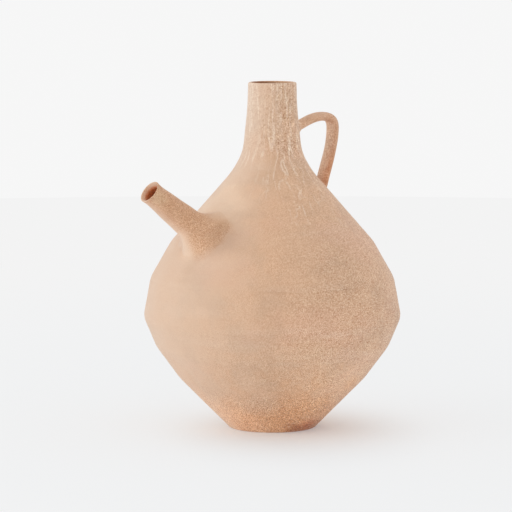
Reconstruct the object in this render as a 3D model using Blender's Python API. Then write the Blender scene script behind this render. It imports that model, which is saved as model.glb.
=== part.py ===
"""Terracotta jug, as a potter builds it: clay pieces that are made apart and luted together before firing.

A base disc carries a stack of turned bands with mitred edges, and a neck. Coils of soft clay back the
joints from inside. A tapered spout stands over a hole in the shoulder, and a strap handle runs from neck to
shoulder, each with a smeared collar of clay at its root.

Metres, +Z up. The origin is the middle of the base's underside. The spout points to -X, the handle to +X.
"""

import math

import bmesh
import bpy
from mathutils import Matrix, Vector
from mathutils.geometry import interpolate_bezier

# Driving dimensions: the belly, the base and the walls
WIDEST_RADIUS = 0.1285
BASE_RADIUS = 0.0432
BASE_THICKNESS = 0.008
WALL = 0.006
JOINT_GAP = 0.0003

# Driving dimensions: each band's height, how far the bands flare to the widest joint or draw in from it, and
# the outer radius at the top of the bands under the neck
FOOT_BAND_HEIGHT = 0.0505
LOWER_BAND_HEIGHT = 0.0315
LOWER_BAND_FLARE = 0.0231
UNDER_BELLY_HEIGHT = 0.0297
UNDER_BELLY_FLARE = 0.0123
BELLY_HEIGHT = 0.0388
BELLY_DRAW_IN = 0.0071
UPPER_BELLY_HEIGHT = 0.0356
UPPER_BELLY_DRAW_IN = 0.0201
SHOULDER_HEIGHT = 0.0709
SHOULDER_RADIUS = 0.0394
NECK_FOOT_HEIGHT = 0.0187
NECK_FOOT_RADIUS = 0.0293

# Driving dimensions: the neck, its waist measured up from its foot
NECK_HEIGHT = 0.0693
NECK_WAIST_RISE = 0.0463
NECK_WAIST_RADIUS = 0.0246
MOUTH_RADIUS = 0.0239
NECK_WALL = 0.0045
LIP_ROUND = 0.0014

# Driving dimensions: the coils of soft clay inside the joints
COIL_REACH = 0.005
COIL_RISE = 0.0025

# Driving dimensions: the spout, its root measured up the shoulder's slope from the shoulder's lower edge
SPOUT_ROOT_UP = 0.0206
SPOUT_ANGLE = math.radians(37)
SPOUT_LENGTH = 0.0688
SPOUT_ROOT_RADIUS = 0.0158
SPOUT_TIP_RADIUS = 0.0112
SPOUT_WALL = 0.0026
SPOUT_LIP_ROUND = 0.0008
SPOUT_COLLAR_RISE = 0.015
SPOUT_COLLAR_FLARE = 0.013

# Driving dimensions: the strap handle, from its root, measured up the neck, round to the shoulder
HANDLE_NECK_RISE = 0.0230
HANDLE_NECK_ANGLE = math.radians(24)
HANDLE_CREST_RISE = 0.0102
HANDLE_CREST_REACH = 0.0315
HANDLE_REACH = 0.0456
HANDLE_BEND_DROP = 0.012
HANDLE_FOOT_DOWN = 0.028
HANDLE_FOOT_ANGLE = math.radians(74)
HANDLE_ROOT_RUN = 0.009
STRAP_THICKNESS = 0.0095
STRAP_WIDTH = 0.019
PAD_RISE = 0.0045
PAD_FLARE = 0.0035
COLLAR_EDGE = 0.001

# Fineness of the meshes
TURN_STEPS = 60
SPOUT_STEPS = 40
STRAP_STEPS = 16
PAD_STEPS = 32
FILLET_STEPS = 4
BEND_POINTS = 9
SHARP_ANGLE = math.radians(30)
# A root's end face and a collar's underside bend with the wall halfway across
HALFWAY = 0.5
# How far a curve follows the direction of its ends, as a share of its span
CURVE_PULL = 1 / 3
BEND_PULL = 1 / 2

# The outer radius at the top of each band next to the widest joint
LOWER_BAND_RADIUS = WIDEST_RADIUS - UNDER_BELLY_FLARE
FOOT_BAND_RADIUS = LOWER_BAND_RADIUS - LOWER_BAND_FLARE
BELLY_RADIUS = WIDEST_RADIUS - BELLY_DRAW_IN
UPPER_BELLY_RADIUS = BELLY_RADIUS - UPPER_BELLY_DRAW_IN

# Each band, its height and the outer radius at its top
BANDS = (
    ("foot_band", FOOT_BAND_HEIGHT, FOOT_BAND_RADIUS),
    ("lower_band", LOWER_BAND_HEIGHT, LOWER_BAND_RADIUS),
    ("under_belly_band", UNDER_BELLY_HEIGHT, WIDEST_RADIUS),
    ("belly_band", BELLY_HEIGHT, BELLY_RADIUS),
    ("upper_belly_band", UPPER_BELLY_HEIGHT, UPPER_BELLY_RADIUS),
    ("shoulder_band", SHOULDER_HEIGHT, SHOULDER_RADIUS),
    ("neck_foot_band", NECK_FOOT_HEIGHT, NECK_FOOT_RADIUS),
)
SHOULDER_INDEX = 5
# The joint above the belly band is closed last, from outside, so no coil backs it
CLOSING_JOINT = 4

BODY_CLAY = (0.665, 0.440, 0.300)
FOOT_CLAY = (0.600, 0.360, 0.225)
NECK_CLAY = (0.690, 0.490, 0.360)
SPOUT_CLAY = (0.600, 0.370, 0.235)
HANDLE_CLAY = (0.610, 0.375, 0.250)
LUTING_CLAY = (0.580, 0.350, 0.225)
CLAY_ROUGHNESS = 0.9

WIDTHWAYS = Vector((0, 1, 0))


def outer_profile():
    """The outer corners as (radius, height), from the base's edge to the neck's foot, waist and mouth."""
    corners = [Vector((BASE_RADIUS, 0))]
    for _, height, radius in BANDS:
        corners.append(Vector((radius, corners[-1].y + height)))
    neck_foot = corners[-1].y
    corners.append(Vector((NECK_WAIST_RADIUS, neck_foot + NECK_WAIST_RISE)))
    corners.append(Vector((MOUTH_RADIUS, neck_foot + NECK_HEIGHT)))
    return corners


OUTER = outer_profile()
WAIST, MOUTH = OUTER[-2:]


def direction(start, end):
    return (end - start).normalized()


def inward(along):
    """The normal of a wall that runs upwards along this direction, towards the jug's axis."""
    return Vector((-along.y, along.x))


def mitre(corner, normal_below, normal_above, depth):
    """The point that lies this deep behind both walls that meet at a corner."""
    return corner + depth * (normal_below + normal_above) / (1 + normal_below.dot(normal_above))


def inner_corner(index):
    below = inward(direction(OUTER[index - 1], OUTER[index]))
    above = inward(direction(OUTER[index], OUTER[index + 1]))
    return mitre(OUTER[index], below, above, WALL)


def at_height(start, end, height):
    """The point of a straight wall at this height."""
    return start.lerp(end, (height - start.y) / (end.y - start.y))


# The inner corners, each behind the outer corner of the same index; the first stands on the base disc
FOOT_WALL = inward(direction(OUTER[0], OUTER[1])) * WALL
INNER = [at_height(OUTER[0] + FOOT_WALL, OUTER[1] + FOOT_WALL, BASE_THICKNESS)]
INNER += [inner_corner(index) for index in range(1, len(BANDS) + 1)]
INNER.append(WAIST - Vector((NECK_WALL, 0)))


def clay(name, colour):
    """A matt fired clay of one colour."""
    material = bpy.data.materials.new(name)
    material.use_nodes = True
    shader = material.node_tree.nodes["Principled BSDF"]
    shader.inputs["Base Color"].default_value = (*colour, 1)
    shader.inputs["Roughness"].default_value = CLAY_ROUGHNESS
    shader.inputs["Metallic"].default_value = 0
    return material


def finished(name, bm, colour, seat=None):
    """Makes the object of a mesh, in its own clay, under the jug's empty."""
    bmesh.ops.recalc_face_normals(bm, faces=bm.faces)
    mesh = bpy.data.meshes.new(name)
    bm.to_mesh(mesh)
    bm.free()
    mesh.shade_smooth()
    mesh.set_sharp_from_angle(angle=SHARP_ANGLE)
    mesh.materials.append(clay(name + "_clay", colour))
    made = bpy.data.objects.new(name, mesh)
    bpy.context.scene.collection.objects.link(made)
    made.parent = bpy.data.objects["jug"]
    if seat:
        made.matrix_local = seat
    return made


def turned(name, profile, colour):
    """A ring: a closed profile of (radius, height) points, spun about the jug's axis."""
    bm = bmesh.new()
    corners = [bm.verts.new((point.x, 0, point.y)) for point in profile]
    edges = [bm.edges.new(ends) for ends in zip(corners, corners[1:] + corners[:1])]
    bmesh.ops.spin(
        bm,
        geom=corners + edges,
        cent=(0, 0, 0),
        axis=(0, 0, 1),
        angle=math.tau,
        steps=TURN_STEPS,
        use_merge=True,
    )
    return finished(name, bm, colour)


def lofted(name, rings, colour, seat=None, caps=None):
    """Skins rings of points. Caps are the middles of the ends; with none, the last ring meets the first."""
    bm = bmesh.new()
    rows = [[bm.verts.new(point) for point in ring] for ring in rings]
    pairs = list(zip(rows, rows[1:]))
    if caps is None:
        pairs.append((rows[-1], rows[0]))
    for low, high in pairs:
        for k in range(len(low)):
            bm.faces.new((low[k - 1], low[k], high[k], high[k - 1]))
    for middle, row in zip(caps or (), (rows[0], rows[-1])):
        centre = bm.verts.new(middle)
        for k in range(len(row)):
            bm.faces.new((row[k - 1], row[k], centre))
    return finished(name, bm, colour, seat)


def make_base_disc():
    """The slab underneath, its edge cut to the foot band's slope."""
    bm = bmesh.new()
    top = at_height(OUTER[0], OUTER[1], BASE_THICKNESS)
    bmesh.ops.create_cone(
        bm,
        cap_ends=True,
        segments=TURN_STEPS,
        radius1=BASE_RADIUS,
        radius2=top.x,
        depth=BASE_THICKNESS,
        matrix=Matrix.Translation((0, 0, BASE_THICKNESS / 2)),
    )
    return finished("base_disc", bm, FOOT_CLAY)


def make_bands():
    """The turned bands. Each stops half a joint gap short of its mitres."""
    for index, (name, _, _) in enumerate(BANDS):
        rise = direction(OUTER[index], OUTER[index + 1]) * JOINT_GAP / 2
        top_outer, top_inner = OUTER[index + 1] - rise, INNER[index + 1] - rise
        if index == 0:
            seat = BASE_THICKNESS + JOINT_GAP
            low_outer = at_height(OUTER[0], OUTER[1], seat)
            low_inner = at_height(INNER[0], INNER[1], seat)
        else:
            low_outer, low_inner = OUTER[index] + rise, INNER[index] + rise
        turned(name, [low_outer, top_outer, top_inner, low_inner], FOOT_CLAY if index == 0 else BODY_CLAY)


def make_neck():
    """The thrown neck, drawn in to a waist, with a rounded lip at its mouth."""
    foot = len(BANDS)
    rise = direction(OUTER[foot], WAIST) * JOINT_GAP / 2
    mouth_inner = MOUTH - Vector((NECK_WALL, 0))
    lower, inner = Vector((0, LIP_ROUND)), Vector((LIP_ROUND, 0))
    profile = [
        OUTER[foot] + rise,
        WAIST,
        MOUTH - lower,
        MOUTH - inner,
        mouth_inner + inner,
        mouth_inner - lower,
        INNER[-1],
        INNER[foot] + rise,
    ]
    return turned("neck", profile, NECK_CLAY)


def make_coil(name, corner, below, above):
    """A coil of soft clay pressed into a joint from inside. Below and above are the two walls' directions."""
    normal_below, normal_above = inward(below), inward(above)
    crown = COIL_REACH / 2
    profile = [
        corner - below * COIL_REACH + normal_below * JOINT_GAP,
        mitre(corner, normal_below, normal_above, JOINT_GAP),
        corner + above * COIL_REACH + normal_above * JOINT_GAP,
        corner + above * crown + normal_above * COIL_RISE,
        corner - below * crown + normal_below * COIL_RISE,
    ]
    return turned(name, profile, LUTING_CLAY)


def make_coils():
    """One coil over the base disc, and one behind each joint that a hand can still reach."""
    make_coil("base_coil", INNER[0], Vector((1, 0)), direction(INNER[0], INNER[1]))
    for index in range(1, len(BANDS) + 1):
        if index == CLOSING_JOINT:
            continue
        below = direction(INNER[index - 1], INNER[index])
        above = direction(INNER[index], INNER[index + 1])
        make_coil(BANDS[index - 1][0].replace("_band", "_coil"), INNER[index], below, above)


def seat_at(radius, height, leaving, side):
    """A frame on the wall, on the jug's -X or +X side, with its Z the way that a root leaves the wall."""
    z_axis = Vector((side * leaving.x, 0, leaving.y))
    x_axis = WIDTHWAYS.cross(z_axis)
    turn = Matrix((x_axis, WIDTHWAYS, z_axis)).transposed()
    return Matrix.Translation((side * radius, 0, height)) @ turn.to_4x4()


def wall_level(seat, x, y, clearance):
    """The seat's own Z at which a line up through (x, y) comes clear of the jug's outer walls."""
    start = seat @ Vector((x, y, 0))
    way = seat.col[2].xyz
    levels = []
    for low, high in zip(OUTER, OUTER[1:]):
        slope = (high.x - low.x) / (high.y - low.y)
        radius = low.x + clearance * math.hypot(1, slope) + slope * (start.z - low.y)
        growth = slope * way.z
        square = way.x**2 + way.y**2 - growth**2
        linear = start.x * way.x + start.y * way.y - radius * growth
        rest = start.x**2 + start.y**2 - radius**2
        inside = linear**2 - square * rest
        if inside < 0 or square == 0:
            continue
        for root in (math.sqrt(inside), -math.sqrt(inside)):
            level = (root - linear) / square
            height = start.z + level * way.z
            if low.y - clearance <= height <= high.y + clearance and radius + growth * level > 0:
                levels.append(level)
    return max(levels)


def ellipse_point(semi_axes, angle, outset=0.0):
    """A point of an ellipse, moved out along its normal."""
    a, b = semi_axes
    normal = Vector((b * math.cos(angle), a * math.sin(angle))).normalized()
    return Vector((a * math.cos(angle), b * math.sin(angle))) + normal * outset


def angles(steps):
    return [math.tau * k / steps for k in range(steps)]


def make_collar(name, seat, semi_axes_at, rise, flare, steps):
    """A smeared collar of clay round a root: a fillet from the root's side out to a thin edge on the wall."""
    rings = []
    for angle in angles(steps):
        wall = wall_level(seat, *ellipse_point(semi_axes_at(0), angle, JOINT_GAP), JOINT_GAP)
        section = [(*ellipse_point(semi_axes_at(wall), angle, JOINT_GAP), wall)]
        section.append((*ellipse_point(semi_axes_at(wall + rise), angle, JOINT_GAP), wall + rise))
        for step in range(FILLET_STEPS + 1):
            share = step / FILLET_STEPS
            x, y = ellipse_point(semi_axes_at(0), angle, JOINT_GAP + COLLAR_EDGE + flare * share**2)
            edge = wall_level(seat, x, y, JOINT_GAP)
            section.append((x, y, edge + COLLAR_EDGE + (rise - COLLAR_EDGE) * (1 - share) ** 2))
        section.append((x, y, edge))
        x, y = ellipse_point(semi_axes_at(0), angle, JOINT_GAP + (COLLAR_EDGE + flare) * HALFWAY)
        section.append((x, y, wall_level(seat, x, y, JOINT_GAP)))
        rings.append([Vector(point) for point in section])
    return lofted(name, rings, LUTING_CLAY, seat)


def spout_seat():
    """The spout's root on the shoulder."""
    low, high = OUTER[SHOULDER_INDEX], OUTER[SHOULDER_INDEX + 1]
    root = low + direction(low, high) * SPOUT_ROOT_UP
    return seat_at(root.x, root.y, Vector((math.cos(SPOUT_ANGLE), math.sin(SPOUT_ANGLE))), -1)


def spout_radius(level):
    """The spout's outer radius at this distance from its root."""
    return SPOUT_ROOT_RADIUS + (SPOUT_TIP_RADIUS - SPOUT_ROOT_RADIUS) * level / SPOUT_LENGTH


def make_spout():
    """The tapered tube, its root cut to the shoulder, with the hole behind it and the collar round it."""
    seat = spout_seat()
    bore = SPOUT_ROOT_RADIUS - SPOUT_WALL
    tip = SPOUT_LENGTH
    rings = []
    for angle in angles(SPOUT_STEPS):
        across = Vector((math.cos(angle), math.sin(angle)))
        outer_root = wall_level(seat, *(across * SPOUT_ROOT_RADIUS), JOINT_GAP)
        inner_root = wall_level(seat, *(across * bore), JOINT_GAP)
        below_lip = tip - SPOUT_LIP_ROUND
        section = (
            (spout_radius(outer_root), outer_root),
            (spout_radius(below_lip), below_lip),
            (SPOUT_TIP_RADIUS - SPOUT_LIP_ROUND, tip),
            (SPOUT_TIP_RADIUS - SPOUT_WALL + SPOUT_LIP_ROUND, tip),
            (spout_radius(below_lip) - SPOUT_WALL, below_lip),
            (spout_radius(inner_root) - SPOUT_WALL, inner_root),
        )
        rings.append([Vector((*(across * radius), level)) for radius, level in section])
    lofted("spout_tube", rings, SPOUT_CLAY, seat)
    make_collar(
        "spout_collar",
        seat,
        lambda level: (spout_radius(level), spout_radius(level)),
        SPOUT_COLLAR_RISE,
        SPOUT_COLLAR_FLARE,
        SPOUT_STEPS,
    )
    pierce_shoulder(seat, bore)


def pierce_shoulder(seat, bore):
    """Cuts the hole that the spout pours through."""
    bm = bmesh.new()
    bmesh.ops.create_cone(
        bm, cap_ends=True, segments=SPOUT_STEPS, radius1=bore, radius2=bore, depth=2 * (bore + WALL)
    )
    cutter = finished("spout_hole_cutter", bm, LUTING_CLAY, seat)
    cutter.hide_render = True
    cutter.display_type = "WIRE"
    hole = bpy.data.objects["shoulder_band"].modifiers.new("spout_hole", "BOOLEAN")
    hole.operation = "DIFFERENCE"
    hole.object = cutter


def handle_seats():
    """The handle's roots, on the neck and on the shoulder."""
    neck_foot = OUTER[len(BANDS)]
    neck = at_height(neck_foot, WAIST, neck_foot.y + HANDLE_NECK_RISE)
    low, high = OUTER[SHOULDER_INDEX], OUTER[SHOULDER_INDEX + 1]
    foot = high + direction(high, low) * HANDLE_FOOT_DOWN
    neck_way = Vector((math.cos(HANDLE_NECK_ANGLE), math.sin(HANDLE_NECK_ANGLE)))
    foot_way = Vector((math.cos(HANDLE_FOOT_ANGLE), math.sin(HANDLE_FOOT_ANGLE)))
    return seat_at(neck.x, neck.y, neck_way, 1), seat_at(foot.x, foot.y, foot_way, 1)


def handle_line(neck_seat, foot_seat):
    """The strap's centre line between its two straight root runs, as points in the jug's XZ plane."""
    neck, foot = neck_seat.translation, foot_seat.translation
    neck_way, foot_way = neck_seat.col[2].xyz, foot_seat.col[2].xyz
    start, end = neck + neck_way * HANDLE_ROOT_RUN, foot + foot_way * HANDLE_ROOT_RUN
    crest = neck + Vector((HANDLE_CREST_REACH, 0, HANDLE_CREST_RISE))
    bend = Vector((neck.x + HANDLE_REACH, 0, crest.z - HANDLE_BEND_DROP))
    out, down = Vector((1, 0, 0)), Vector((0, 0, -1))
    spans = (
        (start, neck_way, crest, -out, CURVE_PULL),
        (crest, out, bend, -down, BEND_PULL),
        (bend, down, end, foot_way, CURVE_PULL),
    )
    line = []
    for first, leaving, last, arriving, pull in spans:
        reach = (last - first).length * pull
        pulls = first + leaving * reach, last + arriving * reach
        points = interpolate_bezier(first, *pulls, last, BEND_POINTS)
        line += points if not line else points[1:]
    return line


def make_handle():
    """The pulled strap, its ends cut to the neck and the shoulder, with a pad of clay round each root."""
    neck_seat, foot_seat = handle_seats()
    line = handle_line(neck_seat, foot_seat)
    semi_axes = (STRAP_THICKNESS / 2, STRAP_WIDTH / 2)
    across = [ellipse_point(semi_axes, angle) for angle in angles(STRAP_STEPS)]

    def root_ring(seat, facing, size):
        points = [(facing * size * x, size * y) for x, y in across]
        return [seat @ Vector((x, y, wall_level(seat, x, y, JOINT_GAP))) for x, y in points]

    rings = [root_ring(neck_seat, 1, size) for size in (HALFWAY, 1)]
    for k, point in enumerate(line):
        ahead = (line[min(k + 1, len(line) - 1)] - line[max(k - 1, 0)]).normalized()
        if k == 0:
            ahead = neck_seat.col[2].xyz
        elif k == len(line) - 1:
            ahead = -foot_seat.col[2].xyz
        thickways = WIDTHWAYS.cross(ahead)
        rings.append([point + thickways * x + WIDTHWAYS * y for x, y in across])
    rings += [root_ring(foot_seat, -1, size) for size in (1, HALFWAY)]
    caps = [seat @ Vector((0, 0, wall_level(seat, 0, 0, JOINT_GAP))) for seat in (neck_seat, foot_seat)]
    lofted("handle_strap", rings, HANDLE_CLAY, caps=caps)
    for name, seat in (("handle_neck_pad", neck_seat), ("handle_shoulder_pad", foot_seat)):
        make_collar(name, seat, lambda level: semi_axes, PAD_RISE, PAD_FLARE, PAD_STEPS)


def main():
    for stale in list(bpy.data.objects):
        bpy.data.objects.remove(stale)
    jug = bpy.data.objects.new("jug", None)
    bpy.context.scene.collection.objects.link(jug)
    make_base_disc()
    make_bands()
    make_neck()
    make_coils()
    make_spout()
    make_handle()


main()
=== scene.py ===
"""Terracotta jug: a body luted from turned bands, a tube spout and a strap handle, in matt sandy clay.

Laid out as an add-on and run as a script. Metres, +Z up; the spout points to -X and the handle to +X.
"""

import math

import bmesh
import bpy
from bpy.props import FloatProperty, FloatVectorProperty, IntProperty, PointerProperty
from mathutils import Matrix, Vector, noise
from mathutils.bvhtree import BVHTree
from mathutils.geometry import interpolate_bezier


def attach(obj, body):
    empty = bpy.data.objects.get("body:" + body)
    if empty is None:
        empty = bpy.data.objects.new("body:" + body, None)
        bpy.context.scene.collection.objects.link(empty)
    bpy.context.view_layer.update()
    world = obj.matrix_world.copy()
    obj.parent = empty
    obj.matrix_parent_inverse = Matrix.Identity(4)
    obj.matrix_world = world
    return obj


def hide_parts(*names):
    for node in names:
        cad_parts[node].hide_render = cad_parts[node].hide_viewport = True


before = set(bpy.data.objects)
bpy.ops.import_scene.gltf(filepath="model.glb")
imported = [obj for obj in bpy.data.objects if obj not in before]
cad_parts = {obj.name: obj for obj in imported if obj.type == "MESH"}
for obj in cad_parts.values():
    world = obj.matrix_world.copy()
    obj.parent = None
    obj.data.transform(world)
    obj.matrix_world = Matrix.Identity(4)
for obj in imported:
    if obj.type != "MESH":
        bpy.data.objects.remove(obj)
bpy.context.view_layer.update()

bl_info = {
    "name": "Terracotta Jug",
    "version": (1, 0, 0),
    "blender": (4, 5, 0),
    "location": "View3D > Sidebar > Jug",
    "description": "Builds a luted terracotta jug with a tube spout and a strap handle",
    "category": "Add Mesh",
}

BODY = "root"

# The outer profile, as the radius and height at the top of each band
BASE_EDGE = Vector((0.0432, 0))
BAND_TOPS = (
    ("foot_band", Vector((0.0931, 0.0505))),
    ("lower_band", Vector((0.1162, 0.0820))),
    ("under_belly_band", Vector((0.1285, 0.1117))),
    ("belly_band", Vector((0.1214, 0.1505))),
    ("upper_belly_band", Vector((0.1013, 0.1861))),
    ("shoulder_band", Vector((0.0394, 0.2570))),
    ("neck_foot_band", Vector((0.0293, 0.2757))),
)
NECK_WAIST = Vector((0.0246, 0.3220))
NECK_MOUTH = Vector((0.0239, 0.3450))
SHOULDER_LOW, SHOULDER_HIGH = BAND_TOPS[4][1], BAND_TOPS[5][1]
# The closing seam shows just under the belly band's top
SEAM_DROP = 0.0015
SEAM_HEIGHT = BAND_TOPS[3][1].y - SEAM_DROP
# The strap's width runs this way
WIDTHWAYS = Vector((0, 1, 0))

# How the hand-turned wall wavers: pitches of its noise, and the seam's wander and half width
SWELL_PITCH = 13
RING_PITCH_ACROSS, RING_PITCH_UP = 7, 190
SEAM_PITCH, SEAM_HOLD_PITCH = 22, 9
SEAM_SWAY, SEAM_HALF_WIDTH = 0.0008, 0.0011
# How a smeared fillet curves and wavers, and how much further it reaches on its smeared side
FILLET_SINK = 0.0003
FLARE_CURVE, RISE_CURVE = 1.5, 1.4
SMEAR_SWAY, SMEAR_PITCH, SMEAR_TURN = 0.16, 50, 1.7
SMEAR_GAIN, SMEAR_LOSS = 0.85, 0.45
# How the spout's tube wavers, and the pulled strap in thickness and width
TUBE_PITCH = 60
STRAP_SWAY, STRAP_PITCH = (0.07, 0.05, 0), 45
# Faces round the spout and the strap, and points on each of the strap's curves
SPOUT_TURNS, STRAP_TURNS, CURVE_POINTS = 72, 44, 28
# Lengths that count as none, and the angle from which an edge stays sharp
WELD, CUT_TOLERANCE = 1e-6, 1e-7
SHARP_EDGE = math.radians(42)
# A face whose normal leans this far towards the axis lies inside
INSIDE_LEAN = -0.3
# Rays that look for the wall start this far out
RAY_REACH = 0.03

# The side towards the lamp, which gets painted highlight and whose far side gets painted shade; the side
# where the grain is painted fainter, as if light fell square on it; and where the runs, the seam, and the
# scorched edge with its painted contact shadow are plainest
LIT_SIDE_WAY = (-0.839, 0.545, 0.0)
LIT_FAINT_GRAIN_WAY = (-0.790, 0.513, 0.336)
RUN_WAY = (0.374, -0.928, 0.0)
SEAM_WAY = (-0.259, -0.966, 0.0)
SCORCH_SHADE_WAY = (0.400, -0.917, 0.0)
# The spout's side turned from the lamp, with browner clay and painted shade, and the side that its collar is
# smeared to, where the brown and a painted shadow spread over the wall
STAIN_AND_SHADE_WAY = (0.205, -0.940, 0.274)
SMEAR_WAY = (-0.125, -0.978, -0.166)
# The stain and painted shade reach this much further there
STAIN_SHADE_SMEAR = 0.013
# Lengths that the clay's finishes fade over, from none to all
FOOT_RED = (0.080, 0.004)
SCORCH_SHADE_ROUND, SCORCH_SHADE_UP = (0.026, 0.042), (0.004, -0.005)
LIT_SIDE_UP, NECK_UP = (0.16, 0.27), (0.255, 0.315)
RUNS_UP, RUN_WIDTH = (0.240, 0.285), (0.0014, 0.0002)
SEAM_ROUND, SEAM_WIDTH = (0.108, 0.120), (0.0014, 0.0003)
ABOVE_SEAM, FAR_ABOVE_SEAM = (0.0, 0.001), (0.011, 0.002)
STAIN_SHADE_BESIDE, STAIN_SHADE_ROOT, STAIN_SHADE_ALONG = (0.035, 0.022), (0.016, 0.024), (-0.03, -0.015)
THROAT_ALONG, THROAT_BESIDE = (0.030, 0.045), (0.0110, 0.0098)
LIP_EDGE = (0.0018, 0.0042)
LIMB_UP, LIMB_OUT, LIMB_FOOT = (0.290, 0.252), (0.034, 0.060), (0.010, 0.024)
FLUSH_RISE, FLUSH_REACH = (0.0, 0.008), (0.024, 0.008)
MOUTH_UP = (0.300, 0.343)
BARE_FOOT, BARE_NECK = (0.065, 0.020), (0.250, 0.290)
# The runs, as the spacing, the pitch of the bends and the sway of each set
RUNS = ((0.0072, 44.0, 0.0040), (0.0105, 27.0, 0.0055))
# Their bends are drawn out upright, and a radian of turn counts as this arc
RUN_STRETCH, NECK_ARC = 0.45, 0.027
# Faint patches, as the middle, reach, tint and strength of each: mostly painted light and painted shade that
# lighten or darken the clay where the light falls, and a few marks of the fire
LIGHT_SHADE_AND_FIRE_PATCHES = (
    ((0.006, -0.113, 0.171), 0.085, (0.88, 0.89, 0.90), 0.55),
    ((0.006, -0.023, 0.335), 0.032, (0.89, 0.90, 0.91), 0.55),
    ((0.022, -0.088, 0.052), 0.060, (1.11, 1.14, 1.14), 0.85),
    ((-0.058, -0.010, 0.012), 0.045, (1.14, 1.14, 1.14), 0.90),
    ((-0.062, -0.010, 0.230), 0.044, (1.15, 1.19, 1.20), 0.90),
    ((-0.114, -0.003, 0.206), 0.018, (1.10, 1.13, 1.15), 0.90),
    ((-0.106, -0.011, 0.188), 0.018, (1.11, 1.14, 1.16), 0.90),
    ((-0.085, -0.037, 0.197), 0.024, (0.84, 0.82, 0.80), 0.90),
    ((0.062, -0.004, 0.259), 0.024, (1.13, 1.14, 1.15), 0.60),
    ((0.0665, 0.006, 0.294), 0.013, (1.14, 1.14, 1.13), 0.90),
    ((-0.033, -0.037, 0.001), 0.020, (1.10, 1.20, 1.32), 0.80),
    ((0.010, -0.050, 0.007), 0.016, (1.00, 0.80, 0.72), 0.90),
    ((-0.138, -0.011, 0.238), 0.014, (1.05, 1.17, 1.21), 0.90),
    ((-0.077, -0.031, 0.210), 0.013, (0.90, 0.88, 0.85), 0.90),
    ((-0.096, -0.028, 0.190), 0.012, (1.10, 1.11, 1.13), 0.90),
)
# The shades that the grain swings between, how far it swings, and how much of a speck is solid
GRAIN_DARK, GRAIN_PALE = (0.55, 0.28, 0.13), (1.45, 1.72, 1.87)
GRAIN_SWING, GRAIN_CORE = 0.667, 0.4
BUMP_STRENGTH, BUMP_DEPTH = 0.5, 0.0009
# The lamp's width, its distances to the left, towards the camera and up, and the height that it points to
LAMP_SIZE, LAMP_ASIDE, LAMP_AHEAD, LAMP_UP, LAMP_AIM = 2.2, 2.6, 0.7, 0.6, 0.17
SENSOR_WIDTH = 36
FLOOR_RADIUS, FLOOR_GLOW = 2.5, 0.97
# The middle of the floor's shade, its squeeze across the view, and the distances that it fades over
SHADE_PLACE = (-0.006, -0.056, 0.0)
SHADE_SQUEEZE = 1.6
SHADE_NEAR, SHADE_FAR = (0.05, 0.25), (0.3, 1.6)


def a_length(name, description, default):
    return FloatProperty(name=name, description=description, default=default, unit="LENGTH")


def an_angle(name, description, degrees):
    default = math.radians(degrees)
    return FloatProperty(name=name, description=description, default=default, subtype="ANGLE")


def a_colour(name, description, default):
    return FloatVectorProperty(name=name, description=description, default=default, subtype="COLOR")


class JugBodySizes(bpy.types.PropertyGroup):
    """Sizes of the turned body"""

    wall: a_length("Wall", "Thickness of the bands", 0.006)
    neck_wall: a_length("Neck wall", "Thickness of the neck", 0.0042)
    base: a_length("Base", "Thickness of the base disc", 0.008)
    base_round: a_length("Base edge", "Rounding of the worn base edge", 0.0012)
    kink_round: a_length("Kink", "Length of wall that softens each kink", 0.0045)
    neck_sweep: a_length("Neck sweep", "Length of wall that sweeps into the neck", 0.0085)
    lip_round: a_length("Lip", "Rounding of the neck's lip", 0.0017)
    swell: a_length("Swell", "How far the hand-turned wall swells", 0.00045)
    ring_depth: a_length("Turning rings", "Depth of the faint turning rings", 0.00016)
    seam_depth: a_length("Seam", "Depth of the line at the closing joint", 0.00012)
    row: a_length("Row", "Height of one row of faces", 0.0022)
    turns: IntProperty(name="Turn steps", description="Faces round the body", default=200, min=24)


class JugSpoutSizes(bpy.types.PropertyGroup):
    """Sizes of the spout"""

    root_up: a_length("Root", "Root's distance up the shoulder's slope", 0.0206)
    angle: an_angle("Angle", "Rise of the spout", 37)
    length: a_length("Length", "Wall to mouth", 0.0688)
    root_radius: a_length("Root radius", "Outer, at the wall", 0.0158)
    tip_radius: a_length("Tip radius", "Outer, behind the lip", 0.0105)
    lip_radius: a_length("Lip radius", "Outer, at the lip", 0.0119)
    lip_run: a_length("Lip run", "Length that opens out", 0.0075)
    lip_bend: a_length("Lip bend", "Length that softens the start of the lip", 0.004)
    lip_depth: a_length("Lip depth", "Depth of the lip's bevel", 0.0045)
    lip_round: a_length("Lip edge", "Rounding of the lip", 0.0006)
    throat: a_length("Throat", "Bore's radius behind the lip", 0.0080)
    throat_round: a_length("Throat edge", "Rounding behind the lip's bevel", 0.0015)
    wall: a_length("Wall", "Thickness of the tube", 0.0025)
    swell: a_length("Swell", "How far the tube swells", 0.0003)
    rise: a_length("Collar rise", "Fillet's run up the tube", 0.021)
    flare: a_length("Collar flare", "Fillet's run on the wall", 0.0165)
    row: a_length("Row", "Length of one row of faces", 0.002)


class JugHandleSizes(bpy.types.PropertyGroup):
    """Sizes of the strap handle"""

    neck_drop: a_length("Neck root", "Below the mouth", 0.0463)
    neck_angle: an_angle("Neck angle", "Rise at the neck", 24)
    crest_rise: a_length("Crest rise", "Above the neck root", 0.0102)
    crest_reach: a_length("Crest reach", "Out from the neck", 0.0315)
    reach: a_length("Reach", "Furthest out from the neck", 0.0456)
    bend_drop: a_length("Bend drop", "Crest to furthest out", 0.012)
    foot_down: a_length("Foot", "Down the shoulder's slope", 0.028)
    foot_angle: an_angle("Foot angle", "Rise at the shoulder", 74)
    root_run: a_length("Root run", "Straight run at each root", 0.009)
    thickness: a_length("Thickness", "Of the strap", 0.0088)
    width: a_length("Width", "Of the strap", 0.0176)
    pad_rise: a_length("Pad rise", "Fillet's run up the strap", 0.005)
    pad_flare: a_length("Pad flare", "Fillet's run on the wall", 0.004)


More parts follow.
